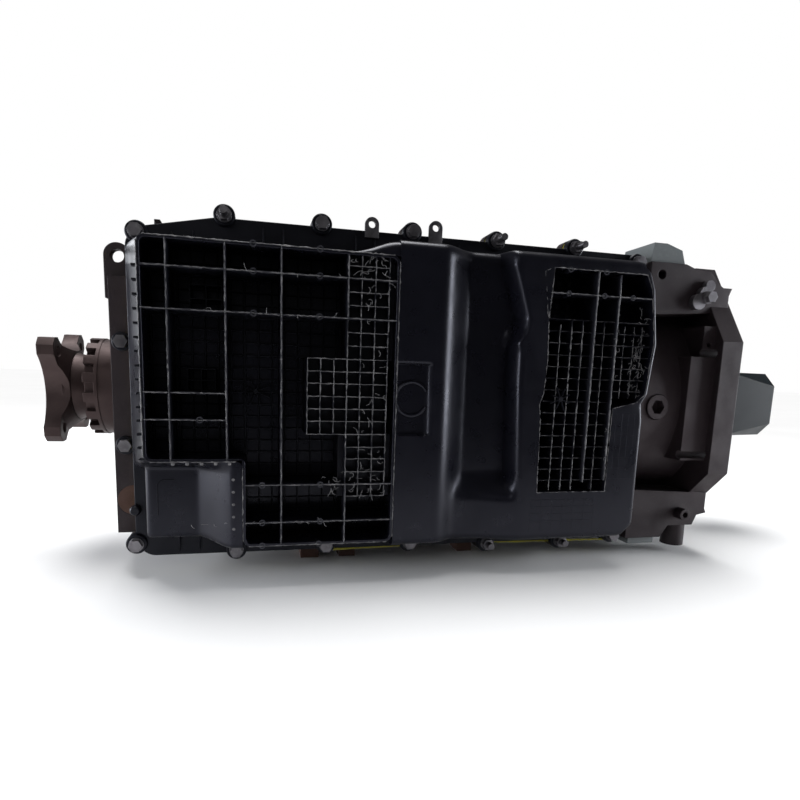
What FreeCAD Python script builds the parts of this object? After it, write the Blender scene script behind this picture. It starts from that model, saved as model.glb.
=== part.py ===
"""Truck-size planetary gearbox with a ribbed oil pan, resting on its cast feet.

Frame, in millimetres: +X runs along the shaft line from the output flange to the
input shaft, the oil pan faces -Y and +Z is up. The origin is the centre of the
output flange's mating face. Inside are two planetary sets in series, each with a
fixed ring gear, so every turn of the output is (1 + ring / sun) squared turns of
the input.
"""
import FreeCAD, Part
import math
import os
import re
from types import SimpleNamespace

from FreeCAD import Placement, Rotation, Vector

DIMENSIONS = {
    # shaft line, measured along X
    "ear_thickness": 18, "hub_length": 27, "wheel_start": 45, "wheel_rim": 16, "wheel_disc": 18,
    "rear_face": 92, "case_start": 137, "case_end": 736, "bell_end": 867, "cap_start": 930,
    "cap_end": 1063, "shaft_end": 1046,
    # output flange and speed pulse wheel
    "ear_half": 62, "waist": 44, "scallop_radius": 60, "bolt_circle": 130, "flange_hole": 6.5,
    "ear_reach": 82, "flange_turn": 5, "flare_radius": 60, "flare_length": 9, "hub_radius": 45, "neck_radius": 36, "nut_recess": 34, "recess_depth": 16,
    "spline_radius": 28, "nut_across": 50, "nut_bore": 20, "nut_start": 3,
    "wheel_root": 53, "wheel_tip": 61, "wheel_slots": 16, "disc_radius": 60,
    # gears
    "module_size": 3, "sun_teeth": 33, "planet_teeth": 15, "ring_teeth": 63, "planet_count": 3,
    "backlash": 0.45, "gear_width": 30, "ring_radius": 111.9, "ring_width": 34,
    "pump_drive_teeth": 24, "pump_gear_teeth": 12, "pump_gear_width": 14,
    "pin_radius": 9, "bush_radius": 12, "running_gap": 0.05, "side_gap": 0.5,
    "output_set": 182, "input_set": 474, "plate_width": 14, "carrier_radius": 86,
    # shafts, bearings and seals
    "journal_radius": 32.5, "tube_shaft_radius": 38, "tube_shaft_bore": 26, "input_radius": 24,
    "input_tail_radius": 22, "bearing_outer": 60, "bearing_width": 23, "seal_outer": 50,
    "seal_width": 9, "race": 6,
    # brake on the tube shaft
    "brake_start": 300, "brake_pitch": 6, "brake_plates": 6, "plate_thickness": 2.4,
    "brake_outer": 111.9, "brake_inner": 80, "hub_outer": 74, "lining_outer": 106,
    # housing
    "tunnel": 112, "tunnel_wall": 120, "case_front": 112, "case_half": 178, "case_back": 125,
    "case_shoulder": 62, "case_wall": 10, "rib_width": 6, "rib_rise": 8, "opening_half": 160,
    "joint_face": 127, "foot_level": 209, "pad_height": 16, "pad_length": 30,
    # rear casting: its front face, the lifting eye and the machined port
    "rear_front": 124, "eye_x": 100, "eye_z": 145, "eye_front": 99, "eye_width": 12, "eye_outer": 14,
    "eye_hole": 7, "port_radius": 17, "port_x": 110, "port_z": -124, "port_depth": 2.5,
    "rear_screw_x": 104,
    # oil pan
    "pan_base": 130, "pan_flange": 6, "pan_rim": 200, "pan_floor": 150, "pan_skin": 4,
    "pan_rib": 2.6, "pan_top": 168, "pan_bottom": 171,
    # bell housing
    "bell_barrel": 155, "barrel_bore": 138, "rim_start": 836, "rim_bore": 166, "web": 12,
    "flat_start": 798, "slab_face": 147, "slab_depth": 247, "bell_circle": 352, "bell_hole": 5.5,
    "filler_x": 763, "filler_z": -5, "filler_head": 16, "filler_shank": 11, "filler_socket": 17,
    "strap_x": 823, "strap_z": 139, "strap_width": 8, "breather_x": 821, "breather_z": -152,
    "breather_radius": 8, "breather_bore": 4, "breather_length": 14,
    "support_radius": 111.9, "guide_radius": 34, "guide_bore": 30, "guide_end": 845,
    # input cap
    "cap_half": 50, "cap_drop": 3, "cap_bore": 23, "cap_wall": 12, "cap_corner": 20, "cap_square": 50,
    # fasteners
    "boss_radius": 11.5, "boss_rise": 4, "hex_across": 13, "washer_radius": 8, "screw_radius": 4,
    "screw_length": 24, "stud_length": 14, "short_stud": 9,
}
# bolts round the oil pan: centre in X and Z at the pan's flange
TOP_BOLTS = [(214, 190), (319, 190), (424, 190), (529, 189), (634, 189)]
BOTTOM_BOLTS = [(223, -183), (328, -181), (433, -182), (538, -187), (643, -187)]
CORNER_BOLTS = [(125, 166), (114, -172), (724, 178), (722, -182)]
ALL_BOLTS = TOP_BOLTS + BOTTOM_BOLTS + CORNER_BOLTS
REAR_SCREWS = (53, -61)
LONG_STUDS = [(214, 190), (529, 189), (634, 189)]
SHORT_STUDS = [(538, -187), (643, -187)]

# cast legs under the case: start along X and width; outline of a leg in Y and Z
FEET = [(301, 23), (350, 21), (513, 20)]
LEG_OUTLINE = [(-102, -193), (-72, -193), (-56, -179), (56, -179), (72, -193), (102, -193), (102, -84),
               (0, -116), (-102, -116)]

doc = FreeCAD.newDocument("planetary_gearbox")
sheet = doc.addObject("Spreadsheet::Sheet", "dims")
for row, (alias, number) in enumerate(DIMENSIONS.items(), start=1):
    sheet.set(f"A{row}", alias)
    sheet.set(f"B{row}", str(number))
    sheet.setAlias(f"B{row}", alias)
doc.recompute()
d = SimpleNamespace(**{alias: float(sheet.get(alias)) for alias in DIMENSIONS})
nodes = []


# ---------------------------------------------------------------- helpers
def cells(text):
    """An arithmetic expression whose words are the sheet's aliases."""
    return re.sub(r"[a-z][a-z_]*", lambda word: "dims." + word.group(0), text)


def bind(item, **sizes):
    for name, text in sizes.items():
        item.setExpression(name.replace("__", "."), cells(text))
    return item


def place(item, x="0", y="0", z="0", turn=None):
    if turn:
        item.Placement = Placement(Vector(), turn)
    return bind(item, Placement__Base__x=x, Placement__Base__y=y, Placement__Base__z=z)


ALONG_X = Rotation(Vector(0, 1, 0), 90)
TOWARDS_FRONT = Rotation(Vector(1, 0, 0), 90)


def rod(radius, length, x, y="0", z="0", turn=ALONG_X):
    item = bind(doc.addObject("Part::Cylinder", "rod"), Radius=radius, Height=length)
    return place(item, x, y, z, turn)


def front_rod(radius, length, x, y, z):
    """A cylinder that runs towards -Y from a depth y."""
    return rod(radius, length, x, y, z, TOWARDS_FRONT)


def cone(first, last, length, x):
    item = bind(doc.addObject("Part::Cone", "cone"), Radius1=first, Radius2=last, Height=length)
    return place(item, x, turn=ALONG_X)


def block(x, y, z, length, width, height):
    item = bind(doc.addObject("Part::Box", "block"), Length=length, Width=width, Height=height)
    return place(item, x, y, z)


def fuse(*items):
    if len(items) == 1:
        return items[0]
    item = doc.addObject("Part::MultiFuse", "fuse")
    item.Shapes = list(items)
    item.Refine = True
    return item


def cut(base, *tools):
    item = doc.addObject("Part::Cut", "cut")
    item.Base = base
    item.Tool = fuse(*tools)
    item.Refine = True
    return item


def common(base, tool):
    item = doc.addObject("Part::Common", "common")
    item.Base = base
    item.Tool = tool
    return item


def node(label, item):
    item.Label = label
    nodes.append(item)
    return item


def shaped(shape):
    """A feature for what has no parametric feature: toothed outlines and fastener groups."""
    item = doc.addObject("Part::Feature", "shaped")
    item.Shape = shape
    return item


def stack(start, steps):
    """Coaxial cylinders one after another: pairs of radius and length."""
    rods = []
    position = start
    for radius, length in steps:
        rods.append(rod(radius, length, position))
        position = f"{position} + {length}"
    return fuse(*rods)


def tube(outer, inner, length, x):
    return cut(rod(outer, length, x), rod(inner, length, x))


def plane_of(body, role):
    return next(item for item in body.Origin.OriginFeatures if item.Role == role)


def outline_body(name, role, points, offset, length, holes=()):
    """A pad of a closed outline; each hole is its centre and radius in the outline's plane."""
    body = doc.addObject("PartDesign::Body", name)
    sketch = body.newObject("Sketcher::SketchObject", name + "_outline")
    sketch.AttachmentSupport = [(plane_of(body, role), "")]
    sketch.MapMode = "FlatFace"
    corners = [Vector(a, b, 0) for a, b in points]
    for start, end in zip(corners, corners[1:] + corners[:1]):
        sketch.addGeometry(Part.LineSegment(start, end))
    for a, b, radius in holes:
        sketch.addGeometry(Part.Circle(Vector(a, b, 0), Vector(0, 0, 1), radius))
    bind(sketch, AttachmentOffset__Base__z=offset)
    pad = body.newObject("PartDesign::Pad", name + "_pad")
    pad.Profile = sketch
    bind(pad, Length=length)
    return body


# ---------------------------------------------------------------- gears
def involute(radius, base):
    """Polar angle gained along an involute from its base circle out to a radius."""
    ratio = math.sqrt(max((radius / base) ** 2 - 1, 0))
    return ratio - math.atan(ratio)


def tooth_flank(radii, teeth, half_tooth, centre, side):
    """Three points of one flank of a tooth, for an arc through them."""
    pitch = d.module_size * teeth / 2
    base = pitch * math.cos(math.radians(20))
    at_pitch = involute(pitch, base)
    points = []
    for radius in radii:
        half = half_tooth + at_pitch - involute(max(radius, base), base)
        angle = centre + side * half
        points.append(Vector(0, radius * math.cos(angle), radius * math.sin(angle)))
    return points


def toothed_wire(teeth, inner, outer, width_change, phase):
    """Closed outline of a gear. The gap of an inside gear has the outline of a tooth."""
    pitch_angle = 2 * math.pi / teeth
    pitch = d.module_size * teeth / 2
    half_tooth = pitch_angle / 4 + width_change / 2 / pitch
    radii = (inner, (inner + outer) / 2, outer)
    edges = []
    for index in range(teeth):
        centre = phase + index * pitch_angle
        rising = tooth_flank(radii, teeth, half_tooth, centre, -1)
        falling = tooth_flank(radii[::-1], teeth, half_tooth, centre, 1)
        following = tooth_flank(radii, teeth, half_tooth, centre + pitch_angle, -1)
        edges.append(Part.Arc(*rising).toShape())
        edges.append(Part.LineSegment(rising[-1], falling[0]).toShape())
        edges.append(Part.Arc(*falling).toShape())
        edges.append(Part.LineSegment(falling[-1], following[0]).toShape())
    return Part.Wire(Part.__sortEdges__(edges))


def outside_gear(teeth, width, x, bore, y=0.0, z=0.0, phase=0.0):
    pitch = d.module_size * teeth / 2
    wire = toothed_wire(teeth, pitch - 1.25 * d.module_size, pitch + d.module_size,
                        -d.backlash / 2, phase)
    gear = Part.Face(wire).extrude(Vector(width, 0, 0))
    gear = gear.cut(Part.makeCylinder(bore, width, Vector(), Vector(1, 0, 0)))
    gear.translate(Vector(x, y, z))
    return gear


def inside_gear(teeth, width, x, outer, phase):
    pitch = d.module_size * teeth / 2
    wire = toothed_wire(teeth, pitch - d.module_size, pitch + 1.25 * d.module_size,
                        d.backlash / 2, phase)
    hole = Part.Face(wire).extrude(Vector(width, 0, 0))
    ring = Part.makeCylinder(outer, width, Vector(), Vector(1, 0, 0)).cut(hole)
    ring.translate(Vector(x, 0, 0))
    return ring


def planet_places():
    """Centre and angle of each planet on its carrier."""
    radius = d.module_size * (d.sun_teeth + d.planet_teeth) / 2
    for index in range(int(d.planet_count)):
        angle = 2 * math.pi * index / d.planet_count
        yield radius * math.cos(angle), radius * math.sin(angle), angle


def planet_phase(angle):
    """Turns a planet so that its gap faces the sun's tooth on the line of centres."""
    sun_pitch = 2 * math.pi / d.sun_teeth
    planet_pitch = 2 * math.pi / d.planet_teeth
    sun_part = (angle / sun_pitch) % 1
    planet_part = (0.5 - sun_part) % 1
    return angle + math.pi - planet_part * planet_pitch


def ring_phase():
    """Turns the ring gear so that its gap takes the tooth of the first planet."""
    planet_pitch = 2 * math.pi / d.planet_teeth
    ring_pitch = 2 * math.pi / d.ring_teeth
    planet_part = (0 - planet_phase(0)) / planet_pitch % 1
    return -planet_part * ring_pitch


def planetary_set(number, start, sun_bore):
    """Ring, sun and planets of one set, with the bush that each planet turns on."""
    teeth = int(d.ring_teeth)
    ring = inside_gear(teeth, d.ring_width, start - 2, d.ring_radius, ring_phase())
    node(f"ring_gear_{number}", shaped(ring))
    sun = outside_gear(int(d.sun_teeth), d.gear_width, start, sun_bore)
    node(f"sun_gear_{number}", shaped(sun))
    for index, (y, z, angle) in enumerate(planet_places(), start=1):
        planet = outside_gear(int(d.planet_teeth), d.gear_width, start, d.bush_radius, y, z,
                              planet_phase(angle))
        node(f"planet_gear_{number}{'abc'[index - 1]}", shaped(planet))
        bush = Part.makeCylinder(d.bush_radius, d.gear_width, Vector(start, y, z), Vector(1, 0, 0))
        bore = Part.makeCylinder(d.pin_radius + d.running_gap, d.gear_width, Vector(start, y, z),
                                 Vector(1, 0, 0))
        node(f"planet_bush_{number}{'abc'[index - 1]}", shaped(bush.cut(bore)))


def planet_pins(number, start):
    pins = []
    reach = d.gear_width + 2 * (d.side_gap + d.plate_width)
    for y, z, _ in planet_places():
        foot = Vector(start - d.side_gap - d.plate_width, y, z)
        pins.append(Part.makeCylinder(d.pin_radius, reach, foot, Vector(1, 0, 0)))
    node(f"planet_pins_{number}", shaped(Part.makeCompound(pins)))


def carrier_plate(x, bore):
    """Round plate with a hole for each planet pin."""
    plate = tube("carrier_radius", bore, "plate_width", x)
    holes = []
    for y, z, _ in planet_places():
        holes.append(rod("pin_radius", "plate_width", x, str(round(y, 6)), str(round(z, 6))))
    return cut(plate, *holes)


# ---------------------------------------------------------------- shaft line
def output_flange():
    side = "2 * ear_half"
    ears = common(block("0", "-ear_half", "-ear_half", "ear_thickness", side, side),
                  rod("ear_reach", "ear_thickness", "0"))
    reach = "waist + scallop_radius"
    scallops = [rod("scallop_radius", "ear_thickness + flare_length", "0", y, z)
                for y, z in ((reach, "0"), ("-" + "(" + reach + ")", "0"),
                             ("0", reach), ("0", "-" + "(" + reach + ")"))]
    spread = "bolt_circle / 2 * 0.70710678"
    holes = [rod("flange_hole", "ear_thickness + flare_length", "0", f"{y} * {spread}", f"{z} * {spread}")
             for y in (-1, 1) for z in (-1, 1)]
    flare = cut(cone("flare_radius", "hub_radius", "flare_length", "ear_thickness"), *scallops)
    hub = fuse(cut(ears, *scallops), flare,
               cone("hub_radius", "neck_radius", "hub_length", "ear_thickness"))
    bore = rod("spline_radius", "wheel_start", "0")
    flange = cut(hub, bore, rod("nut_recess", "recess_depth", "0"), *holes)
    place(flange, turn=Rotation(Vector(1, 0, 0), d.flange_turn))
    node("output_flange", flange)


def pulse_wheel():
    """Disc with square castellations that a speed sensor reads."""
    body = doc.addObject("PartDesign::Body", "pulse_wheel")
    rim = body.newObject("Sketcher::SketchObject", "wheel_rim")
    rim.AttachmentSupport = [(plane_of(body, "YZ_Plane"), "")]
    rim.MapMode = "FlatFace"
    rim.addGeometry(Part.Circle(Vector(), Vector(0, 0, 1), d.disc_radius))
    rim.addGeometry(Part.Circle(Vector(), Vector(0, 0, 1), d.spline_radius))
    bind(rim, AttachmentOffset__Base__z="wheel_start + wheel_rim")
    disc = body.newObject("PartDesign::Pad", "wheel_disc")
    disc.Profile = rim
    bind(disc, Length="wheel_disc")
    base = body.newObject("Sketcher::SketchObject", "wheel_base")
    base.AttachmentSupport = [(plane_of(body, "YZ_Plane"), "")]
    base.MapMode = "FlatFace"
    base.addGeometry(Part.Circle(Vector(), Vector(0, 0, 1), d.wheel_tip))
    base.addGeometry(Part.Circle(Vector(), Vector(0, 0, 1), d.spline_radius))
    bind(base, AttachmentOffset__Base__z="wheel_start")
    ring = body.newObject("PartDesign::Pad", "wheel_ring")
    ring.Profile = base
    bind(ring, Length="wheel_rim")
    slot = body.newObject("Sketcher::SketchObject", "wheel_slot")
    slot.AttachmentSupport = [(plane_of(body, "YZ_Plane"), "")]
    slot.MapMode = "FlatFace"
    half = math.pi * d.wheel_tip / d.wheel_slots / 2
    corners = [Vector(d.wheel_root, -half, 0), Vector(d.wheel_tip + 2, -half, 0),
               Vector(d.wheel_tip + 2, half, 0), Vector(d.wheel_root, half, 0)]
    for start, end in zip(corners, corners[1:] + corners[:1]):
        slot.addGeometry(Part.LineSegment(start, end))
    bind(slot, AttachmentOffset__Base__z="wheel_start")
    gap = body.newObject("PartDesign::Pocket", "wheel_gap")
    gap.Profile = slot
    gap.Reversed = True
    bind(gap, Length="wheel_rim - 4")
    doc.recompute()
    pattern = body.newObject("PartDesign::PolarPattern", "wheel_gaps")
    pattern.Originals = [gap]
    pattern.Axis = (slot, ["N_Axis"])
    pattern.Angle = 360
    bind(pattern, Occurrences="wheel_slots")
    body.Tip = pattern
    node("pulse_wheel", body)


def hexagon_prism(across, length):
    """Hexagon along +Y from the origin, with a corner in +X."""
    radius = across / math.sqrt(3)
    corners = [Vector(radius * math.cos(math.radians(60 * i)), 0, radius * math.sin(math.radians(60 * i)))
               for i in range(7)]
    return Part.Face(Part.makePolygon(corners)).extrude(Vector(0, length, 0))


def hexagon(across, width, x, bore):
    radius = across / math.sqrt(3)
    corners = [Vector(x, radius * math.cos(math.radians(60 * i)), radius * math.sin(math.radians(60 * i)))
               for i in range(7)]
    nut = Part.Face(Part.makePolygon(corners)).extrude(Vector(width, 0, 0))
    return nut.cut(Part.makeCylinder(bore, width, Vector(x, 0, 0), Vector(1, 0, 0)))


def output_line():
    """Output shaft with its carrier, flange, pulse wheel and nut, all turning together."""
    output_flange()
    pulse_wheel()
    nut_length = d.recess_depth - d.nut_start
    node("flange_nut", shaped(hexagon(d.nut_across, nut_length, d.nut_start, d.nut_bore)))
    plate = "output_set - side_gap - plate_width"
    shaft = fuse(rod("nut_bore", "recess_depth - nut_start + 2", "nut_start - 2"),
                 rod("spline_radius", "rear_face - recess_depth", "recess_depth"),
                 rod("journal_radius", f"{plate} - rear_face", "rear_face"),
                 rod("nut_recess + 4", f"{plate} - case_start - 6", "case_start + 6"))
    pilot = rod("bush_radius + 6", f"{plate} - case_start", "case_start")
    node("output_shaft", cut(fuse(shaft, carrier_plate(plate, "bush_radius")), pilot))
    node("output_carrier_plate", carrier_plate("output_set + gear_width + side_gap",
                                               "tube_shaft_radius + 1"))
    planet_pins(2, d.output_set)


def tube_shaft():
    """Hollow shaft that carries the input set's planets and drives the output set's sun."""
    plate = "input_set - side_gap - plate_width"
    shaft = rod("tube_shaft_radius", f"{plate} - output_set", "output_set")
    bore = rod("tube_shaft_bore", f"{plate} - output_set", "output_set")
    carrier = cut(fuse(shaft, carrier_plate(plate, "tube_shaft_bore")), bore)
    node("input_carrier", carrier)
    node("input_carrier_plate", carrier_plate("input_set + gear_width + side_gap", "input_radius + 8"))
    planet_pins(1, d.input_set)


def brake_pack():
    """Steel plates keyed to the housing between lined plates that turn with the tube shaft."""
    steel = []
    lined = []
    for index in range(int(d.brake_plates)):
        x = d.brake_start + index * d.brake_pitch
        ring = Part.makeCylinder(d.brake_outer, d.plate_thickness, Vector(x, 0, 0), Vector(1, 0, 0))
        hole = Part.makeCylinder(d.brake_inner, d.plate_thickness, Vector(x, 0, 0), Vector(1, 0, 0))
        steel.append(ring.cut(hole))
        x += d.brake_pitch / 2
        ring = Part.makeCylinder(d.lining_outer, d.plate_thickness, Vector(x, 0, 0), Vector(1, 0, 0))
        hole = Part.makeCylinder(d.hub_outer, d.plate_thickness, Vector(x, 0, 0), Vector(1, 0, 0))
        lined.append(ring.cut(hole))
    node("brake_steel_plates", shaped(Part.makeCompound(steel)))
    node("brake_lined_plates", shaped(Part.makeCompound(lined)))
    length = "brake_plates * brake_pitch + 8"
    drum = cut(rod("hub_outer", length, "brake_start - 4"),
               rod("tube_shaft_radius", length, "brake_start - 4"),
               rod("hub_outer - 8", "brake_plates * brake_pitch", "brake_start + 4"))
    node("brake_hub", drum)


def input_line():
    """Input shaft from its pilot in the tube shaft to its splined end under the cap."""
    pilot = "input_set - 60"
    shaft = stack(pilot, [("input_radius", "guide_end - 1 - input_set + 60"),
                          ("input_tail_radius", "shaft_end - guide_end + 1")])
    node("input_shaft", shaft)


def ball_bearing(label, x, inner):
    """Two races and a ring of balls, standing clear of the shaft by the running gap."""
    start = Vector(x, 0, 0)
    axis = Vector(1, 0, 0)
    outer = Part.makeCylinder(d.bearing_outer, d.bearing_width, start, axis)
    outer = outer.cut(Part.makeCylinder(d.bearing_outer - d.race, d.bearing_width, start, axis))
    bore = inner + d.running_gap
    inside = Part.makeCylinder(bore + d.race, d.bearing_width, start, axis)
    inside = inside.cut(Part.makeCylinder(bore, d.bearing_width, start, axis))
    middle = (bore + d.bearing_outer) / 2
    radius = (d.bearing_outer - bore) / 2 - d.race - 0.05
    count = int(2 * math.pi * middle / (2.3 * radius))
    balls = []
    for index in range(count):
        angle = 2 * math.pi * index / count
        centre = Vector(x + d.bearing_width / 2, middle * math.cos(angle), middle * math.sin(angle))
        balls.append(Part.makeSphere(radius, centre))
    node(label, shaped(Part.makeCompound([outer, inside] + balls)))


def cap_section(x, corner):
    """Square outline at one place along the cap, with its corners cut off."""
    half = d.cap_half
    inner = half - corner
    points = [(-half, -inner), (-inner, -half), (inner, -half), (half, -inner),
              (half, inner), (inner, half), (-inner, half), (-half, inner), (-half, -inner)]
    return Part.makePolygon([Vector(x, y, z - d.cap_drop) for y, z in points])


def input_cap():
    """Protective cap on the input shaft's end: square, with corner cuts that widen outwards."""
    small = 1.5
    straight = Part.makeLoft([cap_section(d.cap_start, small),
                              cap_section(d.cap_start + d.cap_square, small)], True, True)
    tapered = Part.makeLoft([cap_section(d.cap_start + d.cap_square, small),
                             cap_section(d.cap_end, d.cap_corner)], True, True)
    body = shaped(straight.fuse(tapered).removeSplitter())
    bore = rod("cap_bore", "cap_end - cap_start - cap_wall", "cap_start")
    node("input_cap", cut(body, bore))


# ---------------------------------------------------------------- housing
def mirrored(points):
    """An outline in Y and Z, from its upper half, listed from front to back."""
    return points + [(y, -z) for y, z in reversed(points)]


def case_profile(grow=0.0):
    return mirrored([(-d.case_front, d.case_half + grow), (10, d.case_half + grow),
                     (d.case_back + grow, d.case_shoulder + grow)])


def pan_outline():
    """Outline of the joint between oil pan and case, in X and Z."""
    left, right, top, bottom = 113, 735, 188, -187
    return [(left, 158), (125, 172), (206, top), (720, top), (right, 176), (right, -178), (718, bottom),
            (128, bottom), (left, -176)]


def front_bosses(start, length):
    """Round bosses at the pan's bolts, which stand out past the straight outline."""
    return [front_rod("boss_radius", length, str(x), f"-({start})", str(z)) for x, z in ALL_BOLTS]


def opening(start, length):
    """Tool that cuts the rectangular opening behind the oil pan."""
    return block("case_start + case_wall", start, "-opening_half", "case_end - case_start - 2 * case_wall",
                 length, "2 * opening_half")


def main_housing():
    core = outline_body("case_core", "YZ_Plane", case_profile(), "case_start", "case_end - case_start")
    flange = outline_body("case_flange", "XZ_Plane", pan_outline(), "case_front", "joint_face - case_front")
    bosses = front_bosses("case_front", "joint_face - case_front")
    ribs = []
    for index in range(7):
        ribs.append(outline_body(f"case_rib_{index}", "YZ_Plane", case_profile(d.rib_rise),
                                 f"case_start + 2 + {index} * 97.5", "rib_width"))
    legs = []
    for index, (x, width) in enumerate(FEET):
        legs.append(outline_body(f"leg_{index}", "YZ_Plane", LEG_OUTLINE, str(x), str(width)))
    shell = cut(fuse(core, flange, *bosses, *ribs, *legs), opening("-joint_face", "joint_face - 20"))
    wall = rod("tunnel_wall", "case_end - case_start", "case_start")
    hollow = cut(fuse(shell, wall), rod("tunnel", "case_end - case_start", "case_start"))
    screws = [front_rod("screw_radius", "joint_face - case_front", str(x), "-case_front", str(z))
              for x, z in ALL_BOLTS]
    node("main_housing", cut(hollow, *screws))


def foot_pads():
    """Iron pads under the ends of the cast legs; the gearbox rests on them."""
    pads = doc.addObject("Part::Compound", "pads")
    pads.Links = [block(str(x), y, "-foot_level", str(width), "pad_length", "pad_height")
                  for x, width in FEET for y in ("-102", "102 - pad_length")]
    node("foot_pads", pads)


def rear_port():
    """Shallow round seat of the port in the rear casting's front face."""
    return front_rod("port_radius", "port_depth", "port_x", "port_depth - rear_front", "port_z")


def rear_housing():
    """End casting with the output bearing, the lifting eye and a machined port."""
    points = [(-d.rear_front, -162), (20, -162), (118, -64), (118, 64), (20, 165), (0, 165), (-14, 122),
              (-d.rear_front, 122)]
    body = outline_body("rear_body", "YZ_Plane", points, "rear_face", "case_start - rear_face")
    clearance = block("112.6", "-rear_front - 6", "-200", "40", "rear_front + 6 - case_front + 0.4", "400")
    lug = fuse(front_rod("eye_outer", "eye_width", "eye_x", "-eye_front", "eye_z"),
               block("eye_x - eye_outer", "-eye_front - eye_width", "100", "2 * eye_outer", "eye_width",
                     "eye_z - 100"))
    seat = rod("bearing_outer", "bearing_width", "case_start - bearing_width - 2")
    relief = rod("journal_radius + 8", "case_start - rear_face", "rear_face")
    room = rod("bearing_outer - race", "10", "case_start - 5")
    seal_seat = rod("seal_outer", "seal_width", "rear_face")
    eye = front_rod("eye_hole", "eye_width", "eye_x", "-eye_front", "eye_z")
    screws = [front_rod("screw_radius + 1", "30", "rear_screw_x", "-96", str(z)) for z in REAR_SCREWS]
    corner = front_rod("boss_radius + 0.6", "20", "114", "0.4 - case_front", "-172")
    tools = [clearance, corner, seat, relief, room, seal_seat, eye, rear_port()]
    node("rear_housing", cut(fuse(body, lug), *tools, *screws))


def bell_slab(name, points):
    return outline_body(name, "XZ_Plane", points, "slab_face - slab_depth", "slab_depth")


def bell_rim():
    """Eight-sided rim round the bell's mouth, with a narrow foot."""
    points = [(-176, 82), (-113, 184), (113, 184), (176, 82), (176, -92), (88, -184), (-88, -184),
              (-176, -92)]
    return outline_body("bell_rim", "YZ_Plane", points, "rim_start", "bell_end - rim_start")


def bell_housing():
    """Round barrel with an eight-sided rim, between an upper and a lower slab."""
    barrel = rod("bell_barrel", "bell_end - case_end", "case_end")
    flats = [block("flat_start", y, "-75", "rim_start - flat_start", "60", "137") for y in ("-166", "106")]
    pad = block("rim_start - 18", "-161", "60", "18", "40", "42")
    upper = bell_slab("upper_slab", [(740, 114), (740, 180), (792, 180), (807, 175), (831, 174),
                                     (843, 160), (853, 154), (867, 154), (863, 144), (863, 122)])
    lower = bell_slab("lower_slab", [(740, -186), (795, -186), (806, -170), (846, -170), (852, -156),
                                     (867, -153), (864, -147), (864, -124), (740, -118)])
    solid = fuse(barrel, bell_rim(), *flats, pad, upper, lower)
    inner = rod("barrel_bore", "rim_start - case_end", "case_end + web")
    mouth = rod("rim_bore", "bell_end - rim_start - web / 2", "rim_start + web / 2")
    throat = rod("support_radius", "web", "case_end")
    holes = []
    for index in range(8):
        angle = math.radians(45 * index + 22.5)
        y = round(d.bell_circle / 2 * math.cos(angle), 3)
        z = round(d.bell_circle / 2 * math.sin(angle), 3)
        holes.append(rod("bell_hole", "bell_end - flat_start", "flat_start", str(y), str(z)))
    holes += [front_rod("6", "30", "757", "-120", "165"),
              front_rod("3.5", "14", "rim_start - 8", "-150", "78"),
              front_rod("filler_shank", "40", "filler_x", "-bell_barrel + 40", "filler_z"),
              front_rod("filler_head + 1", "10", "filler_x", "4 - bell_barrel", "filler_z"),
              front_rod("screw_radius + 1", "30", "strap_x", "-120", "strap_z"),
              front_rod("breather_bore", "30", "breather_x", "-120", "breather_z")]
    node("bell_housing", cut(solid, inner, mouth, throat, *holes))


def front_support():
    """Pump body and guide tube, bolted behind the bell's wall."""
    wheel = round(d.module_size * (d.pump_drive_teeth + d.pump_gear_teeth) / 2, 3)
    disc = rod("support_radius - 0.1", "34", "case_end - 22")
    tube_part = rod("guide_radius", "guide_end - case_end - 12", "case_end + 12")
    body = fuse(disc, tube_part)
    drive_room = rod("41", "pump_gear_width + 1", "case_end - 22")
    driven_room = rod("22.5", "pump_gear_width + 1", "case_end - 22", "0", str(-wheel))
    pin_hole = rod("8", "8", "case_end - 22 + pump_gear_width + 1", "0", str(-wheel))
    bore = rod("guide_bore", "guide_end - case_end + 22", "case_end - 22")
    node("front_support", cut(body, drive_room, driven_room, pin_hole, bore))
    cover = rod("support_radius - 0.1", "6", "case_end - 28.5")
    node("pump_cover", cut(cover, rod("guide_bore", "6", "case_end - 28.5"),
                           rod("8", "6", "case_end - 28.5", "0", str(-wheel))))
    start = d.case_end - 21.5
    drive = outside_gear(int(d.pump_drive_teeth), d.pump_gear_width, start, d.input_radius)
    node("pump_drive_gear", shaped(drive))
    phase = math.pi / 2 + math.pi / d.pump_gear_teeth
    driven = outside_gear(int(d.pump_gear_teeth), d.pump_gear_width, start, 8, 0.0, -wheel, phase)
    node("pump_gear", shaped(driven))
    pin = Part.makeCylinder(7.95, 28, Vector(d.case_end - 28, 0, -wheel), Vector(1, 0, 0))
    node("pump_pin", shaped(pin))


# ---------------------------------------------------------------- oil pan
def pan_block(x, z, length, height, front="pan_rim", back="pan_base"):
    """A block of the pan from its back plane to its front plane; both are distances to -Y."""
    return block(str(x), f"-({front})", str(z), str(length), f"{front} - ({back})", str(height))


def pan_ribs(columns, rows):
    """Tall ribs: columns are X, low Z and high Z; rows are Z, low X and high X."""
    ribs = []
    for x, low, high in columns:
        ribs.append(pan_block(x - d.pan_rib / 2, low, d.pan_rib, high - low, "pan_rim", "pan_floor"))
    for z, low, high in rows:
        ribs.append(pan_block(low, z - d.pan_rib / 2, high - low, d.pan_rib, "pan_rim", "pan_floor"))
    return ribs


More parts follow.
